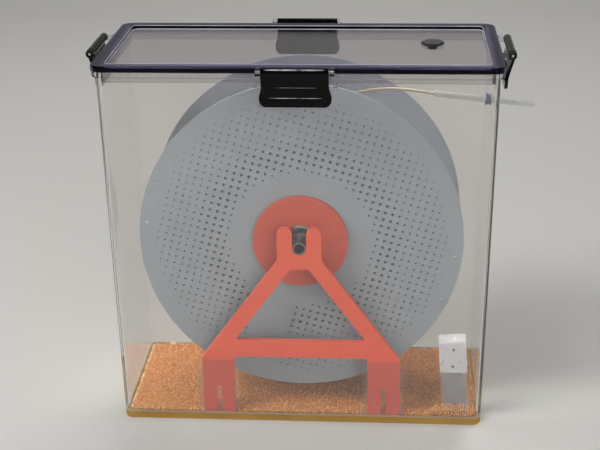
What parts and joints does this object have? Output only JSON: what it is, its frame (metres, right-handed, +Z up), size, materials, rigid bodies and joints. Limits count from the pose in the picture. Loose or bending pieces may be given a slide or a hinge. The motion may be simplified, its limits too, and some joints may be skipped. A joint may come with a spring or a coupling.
{
  "type": "filament dryer box",
  "caption": "Clear lidded storage box that holds one spool of printer filament on a bearing axle over drying beads, with a side outlet tube.",
  "frame": {"origin": "middle of the container's underside, on the surface it stands on", "axes": "+X across the wide front towards the outlet tube, +Y from the front to the back, +Z up"},
  "size_m": [0.2687, 0.1248, 0.2348],
  "materials": {
    "clear_plastic": "clear moulded plastic, polished",
    "tinted_plastic": "clear moulded plastic with a faint violet tint",
    "black_plastic": "glossy black moulded plastic",
    "dark_plastic": "dark grey moulded plastic, satin",
    "orange_print": "orange-red printed plastic, satin",
    "grey_plastic": "blue-grey moulded plastic, satin",
    "filament": "tan filament, satin",
    "beads": "orange drying beads, translucent",
    "steel": "polished bearing steel",
    "tube_steel": "drawn steel tube",
    "brass_cage": "stamped brass",
    "black_rubber": "black rubber",
    "navy_rubber": "dark navy soft seal",
    "clear_pad": "clear gel pad",
    "white_tube": "translucent white low-friction plastic",
    "frosted_plastic": "frosted clear plastic",
    "screen": "grey-green display glass",
    "board": "green circuit board"
  },
  "bodies": {
    "container": {"container_tub": "clear_plastic", "desiccant_beads": "beads", "stand_front": "orange_print", "stand_rear": "orange_print", "pad_front_left": "clear_pad", "pad_front_right": "clear_pad", "pad_rear_left": "clear_pad", "pad_rear_right": "clear_pad", "axle_tube": "tube_steel", "bearing_front_inner_ring": "steel", "bearing_rear_inner_ring": "steel", "guide_tube": "white_tube", "tube_grommet": "white_tube", "filament_lead": "filament", "gauge_case": "frosted_plastic", "gauge_cover": "frosted_plastic", "gauge_screws": "steel", "gauge_display": "screen", "gauge_board": "board", "gauge_cell": "steel"},
    "lid": {"lid_panel": "tinted_plastic", "lid_seal": "navy_rubber", "lid_plug": "dark_plastic", "hinge_pin_front": "steel", "hinge_pin_back": "steel", "hinge_pin_left": "steel", "hinge_pin_right": "steel"},
    "latch_front": {"latch_front": "black_plastic"},
    "latch_back": {"latch_back": "black_plastic"},
    "latch_left": {"latch_left": "black_plastic"},
    "latch_right": {"latch_right": "black_plastic"},
    "spool": {"spool_flange_front": "grey_plastic", "spool_flange_rear": "grey_plastic", "spool_barrel": "grey_plastic", "filament_winding": "filament", "hub_adapter_front": "orange_print", "hub_adapter_rear": "orange_print", "bearing_front_outer_ring": "steel", "bearing_rear_outer_ring": "steel", "bearing_front_seals": "black_rubber", "bearing_rear_seals": "black_rubber"},
    "balls_front": {"bearing_front_balls": "steel", "bearing_front_cage": "brass_cage"},
    "balls_rear": {"bearing_rear_balls": "steel", "bearing_rear_cage": "brass_cage"}
  },
  "joints": [
    {"name": "lid_lift", "type": "slide", "parent": "container", "child": "lid", "axis": [0, 0, 1], "range_m": [0, 0.06]},
    {"name": "latch_front_hinge", "type": "hinge", "parent": "lid", "child": "latch_front", "pos_m": [0, -0.0598, 0.2322], "axis": [-1, 0, 0], "range_deg": [-5.5, 150]},
    {"name": "latch_back_hinge", "type": "hinge", "parent": "lid", "child": "latch_back", "pos_m": [0, 0.0598, 0.2322], "axis": [1, 0, 0], "range_deg": [-5.5, 150]},
    {"name": "latch_left_hinge", "type": "hinge", "parent": "lid", "child": "latch_left", "pos_m": [-0.1247, 0, 0.2322], "axis": [0, 1, 0], "range_deg": [-5.5, 150]},
    {"name": "latch_right_hinge", "type": "hinge", "parent": "lid", "child": "latch_right", "pos_m": [0.1247, 0, 0.2322], "axis": [0, -1, 0], "range_deg": [-5.5, 150]},
    {"name": "spool_spin", "type": "hinge", "parent": "container", "child": "spool", "pos_m": [0, 0, 0.118], "axis": [0, 1, 0], "continuous": true},
    {"name": "balls_front_spin", "type": "hinge", "parent": "container", "child": "balls_front", "pos_m": [0, -0.03, 0.118], "axis": [0, 1, 0], "continuous": true},
    {"name": "balls_rear_spin", "type": "hinge", "parent": "container", "child": "balls_rear", "pos_m": [0, 0.03, 0.118], "axis": [0, 1, 0], "continuous": true}
  ],
  "couplings": [
    {"joint": "balls_front_spin", "follows": "spool_spin", "ratio": 0.6286},
    {"joint": "balls_rear_spin", "follows": "spool_spin", "ratio": 0.6286}
  ]
}
